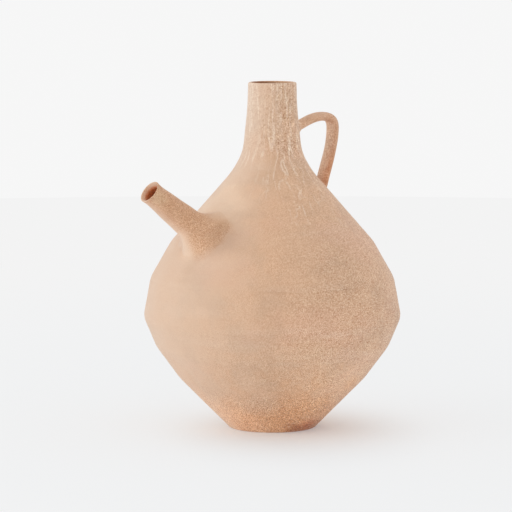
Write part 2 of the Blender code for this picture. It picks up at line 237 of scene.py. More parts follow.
class JugClays(bpy.types.PropertyGroup):
    """Colours of the fired clay"""

    body: a_colour("Body", "Main colour of the clay", (0.735, 0.460, 0.292))
    browner: a_colour("Browner tint", "Tint of the browner clouds", (0.880, 0.890, 0.900))
    pinker: a_colour("Pinker tint", "Tint of the pinker clouds", (1.020, 0.985, 1.020))
    paler: a_colour("Paler tint", "Tint of the soft paler bands", (1.030, 1.110, 1.200))
    # The bloom colour also lays the painted highlight on the side towards the lamp
    bloom: a_colour("Bloom", "Dry bloom on the clay", (0.780, 0.605, 0.470))
    foot: a_colour("Foot", "Redder clay towards the base", (0.742, 0.386, 0.192))
    # The dark lower edge is partly a scorched edge and partly painted contact shadow
    scorch_and_contact_shade: a_colour("Scorch", "Dark edge of the base", (0.450, 0.160, 0.062))
    runs: a_colour("Runs", "Fine pale runs below the mouth", (0.910, 0.735, 0.580))
    # The spout's brown also lays painted shade on its side turned from the lamp and a painted shadow below
    # its root
    spout: a_colour("Spout", "Browner clay of the spout", (0.650, 0.375, 0.220))
    handle: a_colour("Handle", "Browner clay of the handle", (0.760, 0.480, 0.315))
    # The ember colour also lays painted shade on the handle's side turned from the lamp
    ember_and_shade: a_colour("Ember", "Redder clay down the handle and at its foot", (0.560, 0.250, 0.130))
    # The inside colour is painted shade for the jug's hollows
    inside: a_colour("Inside", "Dark clay inside the jug", (0.300, 0.105, 0.038))
    throat: a_colour("Throat", "Redder clay inside the spout's mouth", (0.620, 0.195, 0.070))
    pits: a_colour("Pits", "Dark specks and pits", (0.380, 0.205, 0.110))
    sand: a_colour("Sand", "Pale grains of sand", (0.900, 0.720, 0.560))


class JugStage(bpy.types.PropertyGroup):
    """The view and the light"""

    azimuth: an_angle("Azimuth", "View direction", -33)
    pitch: an_angle("Pitch", "Downward tilt of the view", 6.39)
    distance: a_length("Distance", "Camera to jug", 3.095)
    height: a_length("Height", "Camera above the floor", 0.518)
    aside: a_length("Aside", "Camera to the left", 0.0162)
    lens: FloatProperty(name="Lens", description="Focal length", default=219.4, unit="CAMERA")
    sky: FloatProperty(name="Sky", description="Strength of the even light", default=0.87)
    key: FloatProperty(name="Key", description="Power of the soft lamp", default=15.0, unit="POWER")
    floor: a_colour("Floor", "Pale floor", (0.912, 0.940, 0.965))
    backdrop: a_colour("Backdrop", "Pale backdrop", (0.925, 0.925, 0.925))
    # The floor's glow round the jug, which lightens its real shadow
    near_glow: FloatProperty(
        name="Bleach",
        description="Share of plain colour in the floor round the jug",
        default=0.20,
        subtype="FACTOR",
    )


def add_node(tree, kind, inputs, **settings):
    """Adds a node, with its settings, and fills or links its inputs."""
    made = tree.nodes.new(kind)
    for key, value in settings.items():
        setattr(made, key, value)
    for key, value in inputs.items():
        if isinstance(value, bpy.types.NodeSocket):
            tree.links.new(value, made.inputs[key])
        else:
            made.inputs[key].default_value = value
    return made


def cloud(tree, place, scale, detail=2.0, roughness=0.5):
    inputs = {"Vector": place, "Scale": scale, "Detail": detail, "Roughness": roughness}
    return add_node(tree, "ShaderNodeTexNoise", inputs).outputs["Fac"]


def stretched_cloud(tree, place, scales, detail=2.0, roughness=0.5):
    """A cloud with its own scale along each axis."""
    inputs = {"Vector": place, "Scale": scales}
    place = add_node(tree, "ShaderNodeMapping", inputs, vector_type="POINT").outputs["Vector"]
    return cloud(tree, place, 1.0, detail, roughness)


def span(tree, value, low, high, to_low=0.0, to_high=1.0):
    """Maps a value from one span to another, smoothly and within its ends."""
    inputs = {"Value": value, "From Min": low, "From Max": high, "To Min": to_low, "To Max": to_high}
    node = add_node(tree, "ShaderNodeMapRange", inputs, interpolation_type="SMOOTHSTEP", clamp=True)
    return node.outputs["Result"]


def wavering(tree, place, reach, scale, detail=2.0, roughness=0.5):
    """A cloud that swings by a reach either way, for ragged edges."""
    return span(tree, cloud(tree, place, scale, detail, roughness), 0.3, 0.7, -reach, reach)


def sums(tree, operation, value, *others):
    """Works on a value with each of the others in turn."""
    for other in others:
        value = add_node(tree, "ShaderNodeMath", {0: value, 1: other}, operation=operation).outputs["Value"]
    return value


def times(tree, *values):
    return sums(tree, "MULTIPLY", *values)


def plus(tree, *values):
    return sums(tree, "ADD", *values)


def minus(tree, *values):
    return sums(tree, "SUBTRACT", *values)


def greatest(tree, *values):
    return sums(tree, "MAXIMUM", *values)


def vectors(tree, operation, first, second=(0.0, 0.0, 0.0)):
    node = add_node(tree, "ShaderNodeVectorMath", {0: first, 1: second}, operation=operation)
    return node.outputs["Value" if operation in ("DOT_PRODUCT", "LENGTH") else "Vector"]


def dot(tree, first, second):
    return vectors(tree, "DOT_PRODUCT", first, second)


def axes_of(tree, place):
    return add_node(tree, "ShaderNodeSeparateXYZ", {"Vector": place}).outputs


def tinted(tree, share, under, over, blend="MIX"):
    """Lays one colour over another by a share."""
    node = tree.nodes.new("ShaderNodeMix")
    node.data_type = "RGBA"
    node.blend_type = blend
    for socket, value in ((node.inputs[0], share), (node.inputs[6], under), (node.inputs[7], over)):
        if isinstance(value, bpy.types.NodeSocket):
            tree.links.new(value, socket)
        elif socket.type == "RGBA":
            socket.default_value = (*value, 1)
        else:
            socket.default_value = value
    return node.outputs[2]


def grains(tree, place, scale, rarity, size):
    """Scattered specks: a share of the cells holds one round grain."""
    node = add_node(tree, "ShaderNodeTexVoronoi", {"Vector": place, "Scale": scale})
    chance = add_node(tree, "ShaderNodeSeparateColor", {"Color": node.outputs["Color"]}).outputs["Red"]
    chosen = sums(tree, "GREATER_THAN", chance, rarity)
    return times(tree, span(tree, node.outputs["Distance"], size, size * GRAIN_CORE), chosen)


def clouded(tree, place, main, clays):
    """The clay's own clouds, blushes and soft turning bands."""
    browner = span(tree, cloud(tree, place, 19.0, 5.0, 0.6), 0.44, 0.68, 0.0, 0.85)
    pinker = span(tree, stretched_cloud(tree, place, (11, 11, 17), 3.0), 0.5, 0.66, 0.0, 0.7)
    banded = span(tree, stretched_cloud(tree, place, (6, 6, 60), 4.0, 0.55), 0.48, 0.72, 0.0, 0.5)
    colour = main
    for share, tint in ((browner, clays.browner), (pinker, clays.pinker), (banded, clays.paler)):
        colour = tinted(tree, share, colour, tint, "MULTIPLY")
    return colour


def facing(tree, place, side):
    """How far a face turns to a side, from -1 to 1, with a ragged edge."""
    normal = tree.nodes.new("ShaderNodeNewGeometry").outputs["Normal"]
    turned = dot(tree, normal, side)
    return plus(tree, turned, wavering(tree, place, 0.14, 15.0, 4.0, 0.6))


def light_shade_and_fire_marks(tree, place, colour, relief, clays):
    """Broad, faint patches: mostly painted light and painted shade, paler or darker where the light falls,
    and a few smoked or paled by the fire.
    """
    uneven = wavering(tree, place, 0.2, 24.0, 4.0, 0.6)
    for middle, reach, tint, strength in LIGHT_SHADE_AND_FIRE_PATCHES:
        off = vectors(tree, "LENGTH", vectors(tree, "SUBTRACT", place, middle))
        ragged = plus(tree, off, times(tree, uneven, reach))
        share = span(tree, ragged, reach, reach * 0.2, 0.0, strength)
        colour = tinted(tree, share, colour, tint, "MULTIPLY")
    return colour, relief


def bloom_and_painted_highlight(tree, place, colour, relief, clays):
    """Painted highlight: a pale veil on the side towards the lamp, standing in for its light on the clay, and
    a pale dry bloom in broad upright streaks on the neck.
    """
    height = axes_of(tree, place)["Z"]
    side = times(tree, facing(tree, place, LIT_SIDE_WAY), span(tree, height, *LIT_SIDE_UP, 0.62, 0.84))
    streaks = stretched_cloud(tree, place, (170, 170, 9), 3.0, 0.6)
    high = span(tree, height, *NECK_UP)
    neck = times(tree, high, span(tree, streaks, 0.4, 0.65, 0.02, 0.40))
    share = greatest(tree, plus(tree, side, times(tree, high, 0.08)), neck, 0.0)
    return tinted(tree, share, colour, clays.bloom), relief


def reddened_foot_and_shaded_edge(tree, place, colour, relief, clays):
    """Redder clay towards the base, with an uneven dark lower edge on one side that is partly a scorched edge
    and partly painted contact shadow.
    """
    height = axes_of(tree, place)["Z"]
    low = plus(tree, height, wavering(tree, place, 0.02, 26.0, 4.0, 0.6))
    colour = tinted(tree, span(tree, low, *FOOT_RED, 0.0, 0.9), colour, clays.foot)
    side = span(tree, dot(tree, place, SCORCH_SHADE_WAY), *SCORCH_SHADE_ROUND, -0.010, 0.009)
    edge = plus(tree, height, wavering(tree, place, 0.003, 90.0, 3.0))
    share = span(tree, minus(tree, edge, side), *SCORCH_SHADE_UP, 0.0, 0.8)
    return tinted(tree, share, colour, clays.scorch_and_contact_shade), relief


def pale_runs(tree, place, colour, relief, clays):
    """Fine pale runs that wander and cross on their way down from the mouth."""
    axes = axes_of(tree, place)
    turned = sums(tree, "ARCTAN2", axes["Y"], times(tree, axes["X"], -1.0))
    radius = vectors(tree, "LENGTH", vectors(tree, "MULTIPLY", place, (1.0, 1.0, 0.0)))
    lines = 0.0
    for spacing, pitch, sway in RUNS:
        bends = stretched_cloud(tree, place, (pitch, pitch, pitch * RUN_STRETCH), 2.5)
        arc = plus(tree, times(tree, turned, NECK_ARC), span(tree, bends, 0.25, 0.75, -sway, sway))
        cells = {"W": sums(tree, "DIVIDE", arc, spacing), "Scale": 1.0}
        settings = {"feature": "DISTANCE_TO_EDGE", "voronoi_dimensions": "1D"}
        edge = add_node(tree, "ShaderNodeTexVoronoi", cells, **settings).outputs["Distance"]
        off = times(tree, edge, spacing / NECK_ARC, radius)
        lines = greatest(tree, lines, span(tree, off, *RUN_WIDTH))
    beads = span(tree, stretched_cloud(tree, place, (120, 120, 32), 3.0, 0.6), 0.40, 0.60, 0.06, 1.0)
    reach = times(tree, dot(tree, place, RUN_WAY), 0.55)
    low = plus(tree, axes["Z"], reach, wavering(tree, place, 0.022, 27.0))
    share = times(tree, lines, beads, span(tree, low, *RUNS_UP))
    colour = tinted(tree, times(tree, share, 0.62), colour, clays.runs)
    return colour, plus(tree, relief, times(tree, share, 0.5))


def closing_seam(tree, place, colour, relief, clays):
    """The faint line where the body was closed, plainest on one side, paler above and browner below."""
    wander = span(tree, cloud(tree, place, 22.0), 0.2, 0.8, -0.0012, 0.0012)
    off = minus(tree, axes_of(tree, place)["Z"], SEAM_HEIGHT, wander)
    held = span(tree, dot(tree, place, SEAM_WAY), *SEAM_ROUND, 0.1, 1.0)
    held = times(tree, held, span(tree, cloud(tree, place, 21.0), 0.35, 0.60, 0.3, 1.0))
    line = times(tree, span(tree, sums(tree, "ABSOLUTE", off, 0.0), *SEAM_WIDTH), held)
    above = times(tree, span(tree, off, *ABOVE_SEAM), span(tree, off, *FAR_ABOVE_SEAM))
    colour = tinted(tree, times(tree, above, held, 0.55), colour, clays.paler, "MULTIPLY")
    return tinted(tree, times(tree, line, 0.20), colour, clays.pits), relief


def off_spout(tree, place):
    """The way from the spout's root, its length along the spout and its length beside it."""
    seat = spout_seat(bpy.context.scene.jug_spout)
    axis = tuple(seat.col[2].xyz)
    away = vectors(tree, "SUBTRACT", place, tuple(seat.translation))
    along = dot(tree, away, axis)
    return away, along, vectors(tree, "LENGTH", vectors(tree, "CROSS_PRODUCT", away, axis))


def stain_and_shade_share(tree, place):
    """How far the spout's brown reaches: one side of the tube, turned from the lamp, and smeared over the
    wall below its root; it is partly browner clay and partly painted shade and the spout's painted shadow.
    """
    away, along, beside = off_spout(tree, place)

    def turned_to(side, none, whole, most):
        turned = sums(tree, "DIVIDE", dot(tree, away, side), beside)
        return span(tree, turned, none, whole, 0.05, most)

    on_tube, on_wall = turned_to(STAIN_AND_SHADE_WAY, -0.1, 0.95, 1.0), turned_to(SMEAR_WAY, 0.50, 0.95, 0.9)
    at_root = span(tree, beside, *STAIN_SHADE_ROOT)
    side = plus(tree, on_tube, times(tree, minus(tree, on_wall, on_tube), at_root))
    ragged = plus(tree, beside, wavering(tree, place, 0.003, 60.0, 3.0))
    edge = minus(tree, ragged, times(tree, on_wall, STAIN_SHADE_SMEAR))
    near = times(tree, span(tree, edge, *STAIN_SHADE_BESIDE), span(tree, along, *STAIN_SHADE_ALONG))
    return times(tree, near, side)


def spout_stain_and_shade(tree, place, colour, relief, clays):
    """Browner clay on the spout and round its root, partly painted shade and painted shadow where they are
    turned from the lamp.
    """
    return tinted(tree, stain_and_shade_share(tree, place), colour, clays.spout), relief


def warm_throat(tree, place, colour, relief, clays):
    """Redder clay inside the spout's mouth."""
    _, along, beside = off_spout(tree, place)
    mouth = bpy.context.scene.jug_spout.length
    behind_lip = span(tree, along, *(mouth - depth for depth in LIP_EDGE), 0.0, 0.9)
    share = times(tree, behind_lip, span(tree, along, *THROAT_ALONG), span(tree, beside, *THROAT_BESIDE))
    return tinted(tree, share, colour, clays.throat), relief


def away_from_lamp(tree, place):
    """How far a face turns away from the lamp, for painted shade."""
    return span(tree, facing(tree, place, LIT_SIDE_WAY), 0.95, 0.15)


def off_handle_foot(tree, place):
    """The way from the handle's foot, and its length with a ragged edge."""
    _, foot = handle_seats(bpy.context.scene.jug_handle)
    away = vectors(tree, "SUBTRACT", place, tuple(foot.translation))
    return away, plus(tree, vectors(tree, "LENGTH", away), wavering(tree, place, 0.003, 60.0, 3.0))


def reddened_and_shaded_handle(tree, place, colour, relief, clays):
    """Redder clay and painted shade down the side of the handle's outer limb that is turned from the lamp,
    most towards its foot.
    """
    axes = axes_of(tree, place)
    _, off = off_handle_foot(tree, place)
    limb = times(tree, span(tree, axes["Z"], *LIMB_UP, 0.35, 1.0), span(tree, axes["X"], *LIMB_OUT))
    share = times(tree, limb, span(tree, off, *LIMB_FOOT, 0.0, 0.78), away_from_lamp(tree, place))
    return tinted(tree, share, colour, clays.ember_and_shade), relief


def flushed_and_shaded_root(tree, place, colour, relief, clays):
    """Redder clay round the handle's foot, with painted shade making it plainest on the strap's side turned
    from the lamp, fading out on the wall.
    """
    out = -inward(way(SHOULDER_LOW, SHOULDER_HIGH))
    away, off = off_handle_foot(tree, place)
    rise = dot(tree, away, (out.x, 0.0, out.y))
    near = times(tree, span(tree, rise, *FLUSH_RISE, 0.2, 1.0), span(tree, off, *FLUSH_REACH))
    unlit = plus(tree, times(tree, away_from_lamp(tree, place), 0.88), 0.05)
    return tinted(tree, times(tree, near, unlit), colour, clays.ember_and_shade), relief


def lit_mouth(tree, place, colour, relief, clays):
    """Painted light: paler clay just inside the neck's lip, most where it faces the lamp."""
    side = span(tree, facing(tree, place, LIT_SIDE_WAY), -0.7, 0.3, 0.2, 1.45)
    share = times(tree, side, span(tree, axes_of(tree, place)["Z"], *MOUTH_UP, 0.0, 0.6))
    return tinted(tree, share, colour, clays.body), relief


def bared(tree, place):
    """How far the sand is bared: least on the side towards the lamp, where the grain is painted fainter as if
    light fell square on it and stronger as if light grazed it, and most on the foot, the neck and the spout.
    """
    side = span(tree, facing(tree, place, LIT_FAINT_GRAIN_WAY), 0.7, -0.9, 0.15, 1.42)
    height = axes_of(tree, place)["Z"]
    foot = times(tree, plus(tree, times(tree, side, 1.8), 0.6), span(tree, height, *BARE_FOOT))
    neck = times(tree, plus(tree, times(tree, side, 1.1), 0.48), span(tree, height, *BARE_NECK))
    spout = times(tree, stain_and_shade_share(tree, place), 1.15)
    return greatest(tree, side, foot, neck, spout)


def sanded(tree, place, colour, relief, clays, rough):
    """Sand, pits and a fine grain, as far as they are bared."""
    fine = cloud(tree, place, 1500.0, 1.0, 0.5)
    coarse = cloud(tree, place, 210.0, 2.0, 0.6)
    pits = times(tree, grains(tree, place, 720.0, 0.72, 0.36), rough)
    sand = times(tree, grains(tree, place, 900.0, 0.62, 0.45), rough)
    colour = tinted(tree, times(tree, pits, 0.30), colour, clays.pits)
    colour = tinted(tree, times(tree, sand, 0.25), colour, clays.sand)
    swing = plus(tree, span(tree, fine, 0.25, 0.75, -0.5, 0.5), span(tree, coarse, 0.3, 0.7, -0.05, 0.05))
    swing = plus(tree, times(tree, swing, times(tree, rough, GRAIN_SWING)), 0.5)
    shade = tinted(tree, swing, GRAIN_DARK, GRAIN_PALE)
    colour = tinted(tree, 1.0, colour, shade, "MULTIPLY")
    for height, share in ((fine, 0.7), (coarse, 0.5), (sand, 0.3), (pits, -0.5)):
        relief = plus(tree, relief, times(tree, height, share))
    return colour, relief


def fired_clay(name, main, finishes, sandy, dust):
    """Matt fired clay, with its finishes laid over it, sand and pits all through, and a little dust."""
    clays = bpy.context.scene.jug_clays
    material = bpy.data.materials.new(name)
    material.use_nodes = True
    tree = material.node_tree
    shader = tree.nodes["Principled BSDF"]
    place = tree.nodes.new("ShaderNodeTexCoord").outputs["Object"]
    colour, relief = clouded(tree, place, main, clays), 0.0
    for finish in finishes:
        colour, relief = finish(tree, place, colour, relief, clays)
    rough = sandy or bared(tree, place)
    colour, relief = sanded(tree, place, colour, relief, clays, rough)
    tree.links.new(colour, shader.inputs["Base Color"])
    inputs = {"Strength": BUMP_STRENGTH, "Distance": BUMP_DEPTH, "Height": relief}
    tree.links.new(add_node(tree, "ShaderNodeBump", inputs).outputs["Normal"], shader.inputs["Normal"])
    worn = cloud(tree, place, 40.0, 3.0)
    tree.links.new(span(tree, worn, 0.3, 0.7, 0.70, 0.85), shader.inputs["Roughness"])
    shader.inputs["Specular IOR Level"].default_value = 0.4 * dust
    shader.inputs["Sheen Weight"].default_value = 0.22 * dust
    shader.inputs["Sheen Roughness"].default_value = 0.5


# The finishes hold painted light and painted shade as well as the clay's own colours
BODY_FINISHES = (
    reddened_foot_and_shaded_edge,
    bloom_and_painted_highlight,
    flushed_and_shaded_root,
    spout_stain_and_shade,
    warm_throat,
    light_shade_and_fire_marks,
    pale_runs,
    closing_seam,
)
HANDLE_FINISHES = (bloom_and_painted_highlight, reddened_and_shaded_handle, flushed_and_shaded_root, light_shade_and_fire_marks)


def clay_of(name):
    """The jug's clays, each made once."""
    clays = bpy.context.scene.jug_clays
    if name not in bpy.data.materials:
        main, finishes, sandy, dust = {
            "sandy_body": (clays.body, BODY_FINISHES, None, 1.0),
            "sandy_handle": (clays.handle, HANDLE_FINISHES, 1.1, 0.5),
            "painted_shade_inside": (clays.inside, (lit_mouth, warm_throat), 1.0, 0.1),
        }[name]
        fired_clay(name, main, finishes, sandy, dust)
    return bpy.data.materials[name]


def set_piece(node, bm, clays):
    """Makes the finished piece that stands for a CAD node and rides on the jug."""
    name = "clay_" + node
    mesh = bpy.data.meshes.new(name)
    bm.to_mesh(mesh)
    bm.free()
    mesh.shade_smooth()
    mesh.set_sharp_from_angle(angle=SHARP_EDGE)
    for clay in clays:
        mesh.materials.append(clay_of(clay))
    piece = bpy.data.objects.new(name, mesh)
    bpy.context.scene.collection.objects.link(piece)
    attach(piece, BODY)
    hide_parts(node)


def wire(bm, points):
    """A closed wire of (radius, height) points in the XZ plane."""
    corners = [bm.verts.new((point.x, 0, point.y)) for point in points]
    for ends in zip(corners, corners[1:] + corners[:1]):
        bm.edges.new(ends)
    return corners


def soften(bm, corners, length, segments=6):
    """Rounds corners of a wire over a length."""
    bmesh.ops.bevel(
        bm,
        geom=corners,
        offset=length,
        offset_type="OFFSET",
        affect="VERTICES",
        segments=segments,
        profile=0.5,
        material=-1,
        clamp_overlap=True,
    )


def add_rows(bm, row):
    """Divides the wire's long edges into rows."""
    by_cuts = {}
    for edge in bm.edges:
        by_cuts.setdefault(math.ceil(edge.calc_length() / row) - 1, []).append(edge)
    for cuts, edges in sorted(by_cuts.items()):
        if cuts > 0:
            bmesh.ops.subdivide_edges(bm, edges=edges, cuts=cuts)


def turn(bm, steps):
    """Spins the wire about Z into a closed shell that faces out."""
    bmesh.ops.spin(
        bm,
        geom=bm.verts[:] + bm.edges[:],
        cent=(0, 0, 0),
        axis=(0, 0, 1),
        angle=math.tau,
        steps=steps,
        use_merge=True,
    )
    bmesh.ops.remove_doubles(bm, verts=bm.verts, dist=WELD)
    bmesh.ops.recalc_face_normals(bm, faces=bm.faces)


def way(start, end):
    return (end - start).normalized()


def inward(along):
    return Vector((-along.y, along.x))


def behind(low, corner, high, depth):
    """The point this deep behind both walls that meet at a corner."""
    below, above = inward(way(low, corner)), inward(way(corner, high))
    return corner + depth * (below + above) / (1 + below.dot(above))


def at_height(start, end, height):
    return start.lerp(end, (height - start.y) / (end.y - start.y))


def swelling(point, sizes):
    """How far the wall stands proud at a point: slow swells, turning rings and the closing seam."""
    x, y, z = point
    swell = noise.noise(point * SWELL_PITCH) * sizes.swell
    around = Vector((x * RING_PITCH_ACROSS, y * RING_PITCH_ACROSS, z * RING_PITCH_UP))
    ring = noise.noise(around) * sizes.ring_depth
    seam_height = SEAM_HEIGHT + SEAM_SWAY * noise.noise(point * SEAM_PITCH)
    off = (z - seam_height) / SEAM_HALF_WIDTH
    hold = noise.noise(Vector((x * SEAM_HOLD_PITCH, y * SEAM_HOLD_PITCH, 0.37)))
    held = min(1, max(0, 0.5 + 2.0 * hold))
    return swell + ring - sizes.seam_depth * held * math.exp(-off * off)


def make_uneven(bm, sizes):
    for vertex in bm.verts:
        out = Vector((vertex.co.x, vertex.co.y, 0)).normalized()
        vertex.co += out * swelling(vertex.co, sizes)


def turned_wall(sizes):
    """The whole wall in one closed shell: up the outside, over the lip and down to the base disc inside."""
    tops = [top for _, top in BAND_TOPS]
    outer = [BASE_EDGE, *tops, NECK_WAIST, NECK_MOUTH]
    foot = inward(way(BASE_EDGE, tops[0])) * sizes.wall
    inner = [at_height(BASE_EDGE + foot, tops[0] + foot, sizes.base)]
    inner += [behind(*outer[k - 1 : k + 2], sizes.wall) for k in range(1, len(tops) + 1)]
    inner += [NECK_WAIST - Vector((sizes.neck_wall, 0)), NECK_MOUTH - Vector((sizes.neck_wall, 0))]
    outer[0] = at_height(BASE_EDGE, tops[0], sizes.base)
    bm = bmesh.new()
    corners = wire(bm, outer + inner[::-1])
    count, neck = len(outer), len(tops)
    outer_corners, inner_corners = corners[:count], corners[count:][::-1]
    for side in (outer_corners, inner_corners):
        soften(bm, side[1 : neck - 1], sizes.kink_round)
        soften(bm, side[neck - 1 : neck + 1], sizes.neck_sweep)
        soften(bm, side[neck + 1 : neck + 2], sizes.neck_sweep)
        soften(bm, side[-1:], sizes.lip_round, segments=5)
    add_rows(bm, sizes.row)
    turn(bm, sizes.turns)
    make_uneven(bm, sizes)
    return bm


def cut_band(wall, low, high):
    """The stretch of wall between two joints, closed at both."""
    band = wall.copy()
    for height, above in ((low, True), (high, False)):
        if height is None:
            continue
        cut = bmesh.ops.bisect_plane(
            band,
            geom=band.verts[:] + band.edges[:] + band.faces[:],
            dist=CUT_TOLERANCE,
            plane_co=(0, 0, height),
            plane_no=(0, 0, 1),
            clear_inner=above,
            clear_outer=not above,
        )
        rims = [part for part in cut["geom_cut"] if isinstance(part, bmesh.types.BMEdge)]
        bmesh.ops.bridge_loops(band, edges=rims)
    bmesh.ops.recalc_face_normals(band, faces=band.faces)
    return band


def shade_inside(bm, below=math.inf):
    """Gives the second clay, painted shade, to the faces that look towards the axis, up to a height."""
    bm.normal_update()
    for face in bm.faces:
        middle = face.calc_center_median()
        if middle.z < below and face.normal.xy.dot(middle.xy.normalized()) < INSIDE_LEAN:
            face.material_index = 1


class JUG_OT_body(bpy.types.Operator):
    """Builds the turned bands and the neck"""

    bl_idname = "jug.body"
    bl_label = "Body"

    def execute(self, context):
        wall = turned_wall(context.scene.jug_body)
        shade_inside(wall)
        low = None
        for node, top in (*BAND_TOPS, ("neck", None)):
            high = top.y if top else None
            band = cut_band(wall, low, high)
            set_piece(node, band, ("sandy_body", "painted_shade_inside"))
            low = high
        wall.free()
        return {"FINISHED"}


class JUG_OT_base(bpy.types.Operator):
    """Builds the base disc with its worn edge"""

    bl_idname = "jug.base"
    bl_label = "Base disc"

    def execute(self, context):
        sizes = context.scene.jug_body
        top = at_height(BASE_EDGE, BAND_TOPS[0][1], sizes.base)
        bm = bmesh.new()
        ends = [bm.verts.new((x, 0, z)) for x, z in ((0, 0), BASE_EDGE, top, (0, sizes.base))]
        for pair in zip(ends, ends[1:]):
            bm.edges.new(pair)
        soften(bm, ends[1:2], sizes.base_round, segments=4)
        add_rows(bm, sizes.row)
        turn(bm, sizes.turns)
        for vertex in bm.verts:
            if vertex.co.z > sizes.base_round and vertex.co.xy.length > BASE_EDGE.x:
                vertex.co += vertex.co.xy.normalized().to_3d() * swelling(vertex.co, sizes)
        for face in bm.faces:
            face.material_index = int(face.normal.z > 0.5)
        set_piece("base_disc", bm, ("sandy_body", "painted_shade_inside"))
        return {"FINISHED"}


def wall_tree():
    """The outer walls that roots are seated on."""
    bm = bmesh.new()
    for node in ("upper_belly_band", "shoulder_band", "neck_foot_band", "neck"):
        bm.from_mesh(bpy.data.objects["clay_" + node].data)
    tree = BVHTree.FromBMesh(bm)
    bm.free()
    return tree


def seat_at(radius, height, angle, side):
    """A frame on the wall, on the -X or +X side, with its Z the way that a root leaves the wall."""
    z_axis = Vector((side * math.cos(angle), 0, math.sin(angle)))
    turned = Matrix((WIDTHWAYS.cross(z_axis), WIDTHWAYS, z_axis)).transposed()
    return Matrix.Translation((side * radius, 0, height)) @ turned.to_4x4()


def wall_level(tree, seat, x, y):
    """The seat's own Z of the wall under (x, y)."""
    _, _, _, fall = tree.ray_cast(seat @ Vector((x, y, RAY_REACH)), -seat.col[2].xyz)
    if fall is None:
        raise RuntimeError("a root reaches past the wall that carries it")
    return RAY_REACH - fall


def ellipse_point(semi_axes, angle, outset):
    """The point this far outside an ellipse, square to it at an angle."""
    a, b = semi_axes
    normal = Vector((b * math.cos(angle), a * math.sin(angle))).normalized()
    return Vector((a * math.cos(angle), b * math.sin(angle))) + normal * outset


def fillet(tree, seat, semi_axes_at, rise, flare, smear=None, steps=72, rows=12):
    """A hand-smeared fillet of clay round a root, feathered out on the wall and up the root's side.

    Its section is turned on a wide hub, and then set out from the root's own ellipse on the wall.
    """
    hub = 1.0
    bm = bmesh.new()
    shares = [row / rows for row in range(rows + 1)]
    outer, inner = hub + flare, hub - FILLET_SINK
    section = [Vector((hub + flare * s**FLARE_CURVE, rise * (1 - s) ** RISE_CURVE)) for s in shares]
    section += [Vector((outer, -FILLET_SINK)), Vector((inner, -FILLET_SINK)), Vector((inner, rise))]
    wire(bm, section)
    turn(bm, steps)
    for vertex in bm.verts:
        angle = math.atan2(vertex.co.y, vertex.co.x)
        out = vertex.co.xy.normalized().to_3d()
        smeared = 1 + SMEAR_SWAY * noise.noise(seat.translation * SMEAR_PITCH + out * SMEAR_TURN)
        if smear:
            out = seat.to_3x3() @ out
            smeared += SMEAR_GAIN * max(0, out.dot(smear)) - SMEAR_LOSS
        outset, lift = (vertex.co.xy.length - hub) * smeared, vertex.co.z * min(1, smeared)
        x, y = ellipse_point(semi_axes_at(0), angle, outset)
        level = wall_level(tree, seat, x, y) + lift
        x, y = ellipse_point(semi_axes_at(level), angle, outset)
        vertex.co = Vector((x, y, level))
    bm.transform(seat)
    bmesh.ops.recalc_face_normals(bm, faces=bm.faces)
    return bm


def spout_seat(sizes):
    root = SHOULDER_LOW + way(SHOULDER_LOW, SHOULDER_HIGH) * sizes.root_up
    return seat_at(root.x, root.y, sizes.angle, -1)


class JUG_OT_spout(bpy.types.Operator):
    """Builds the spout's tube and collar, and pierces the shoulder behind them"""

    bl_idname = "jug.spout"
    bl_label = "Spout"

    def execute(self, context):
        sizes = context.scene.jug_spout
        tree, seat = wall_tree(), spout_seat(sizes)

        def semi_axes(level):
            return (sizes.root_radius + (sizes.tip_radius - sizes.root_radius) * level / sizes.length,) * 2

        self.make_tube(sizes, tree, seat, semi_axes)
        collar = fillet(tree, seat, semi_axes, sizes.rise, sizes.flare, Vector(SMEAR_WAY))
        set_piece("spout_collar", collar, ("sandy_body",))
        self.pierce(sizes, seat)
        return {"FINISHED"}

    def make_tube(self, sizes, tree, seat, semi_axes):
        bm = bmesh.new()
        opening = sizes.length - sizes.lip_run
        corners = wire(
            bm,
            [
                Vector((sizes.root_radius, 0)),
                Vector((semi_axes(opening)[0], opening)),
                Vector((sizes.lip_radius, sizes.length)),
                Vector((sizes.lip_radius - sizes.wall / 2, sizes.length)),
                Vector((sizes.throat, sizes.length - sizes.lip_depth)),
                Vector((sizes.root_radius - sizes.wall, 0)),
            ],
        )
        soften(bm, corners[1:2], sizes.lip_bend)
        soften(bm, corners[4:5], sizes.throat_round)
        soften(bm, corners[2:4], sizes.lip_round, segments=4)
        add_rows(bm, sizes.row)
        turn(bm, SPOUT_TURNS)
        shade_inside(bm, sizes.length - sizes.lip_depth)
        for vertex in bm.verts:
            if abs(vertex.co.z) < WELD:
                vertex.co.z = wall_level(tree, seat, vertex.co.x, vertex.co.y)
            else:
                out = vertex.co.xy.normalized().to_3d()
                vertex.co += out * sizes.swell * noise.noise(vertex.co * TUBE_PITCH)
        bm.transform(seat)
        set_piece("spout_tube", bm, ("sandy_body", "painted_shade_inside"))

    def pierce(self, sizes, seat):
        bore = sizes.root_radius - sizes.wall
        bm = bmesh.new()
        bmesh.ops.create_cone(
            bm, cap_ends=True, segments=SPOUT_TURNS, radius1=bore, radius2=bore, depth=4 * bore, matrix=seat
        )
        mesh = bpy.data.meshes.new("spout_hole")
        bm.to_mesh(mesh)
        bm.free()
        cutter = bpy.data.objects.new("spout_hole", mesh)
        bpy.context.scene.collection.objects.link(cutter)
        shoulder = bpy.data.objects["clay_shoulder_band"]
        hole = shoulder.modifiers.new("spout_hole", "BOOLEAN")
        hole.operation = "DIFFERENCE"
        hole.object = cutter
        pierced = shoulder.evaluated_get(bpy.context.evaluated_depsgraph_get())
        shoulder.data = bpy.data.meshes.new_from_object(pierced)
        shoulder.modifiers.clear()
        bpy.data.objects.remove(cutter)


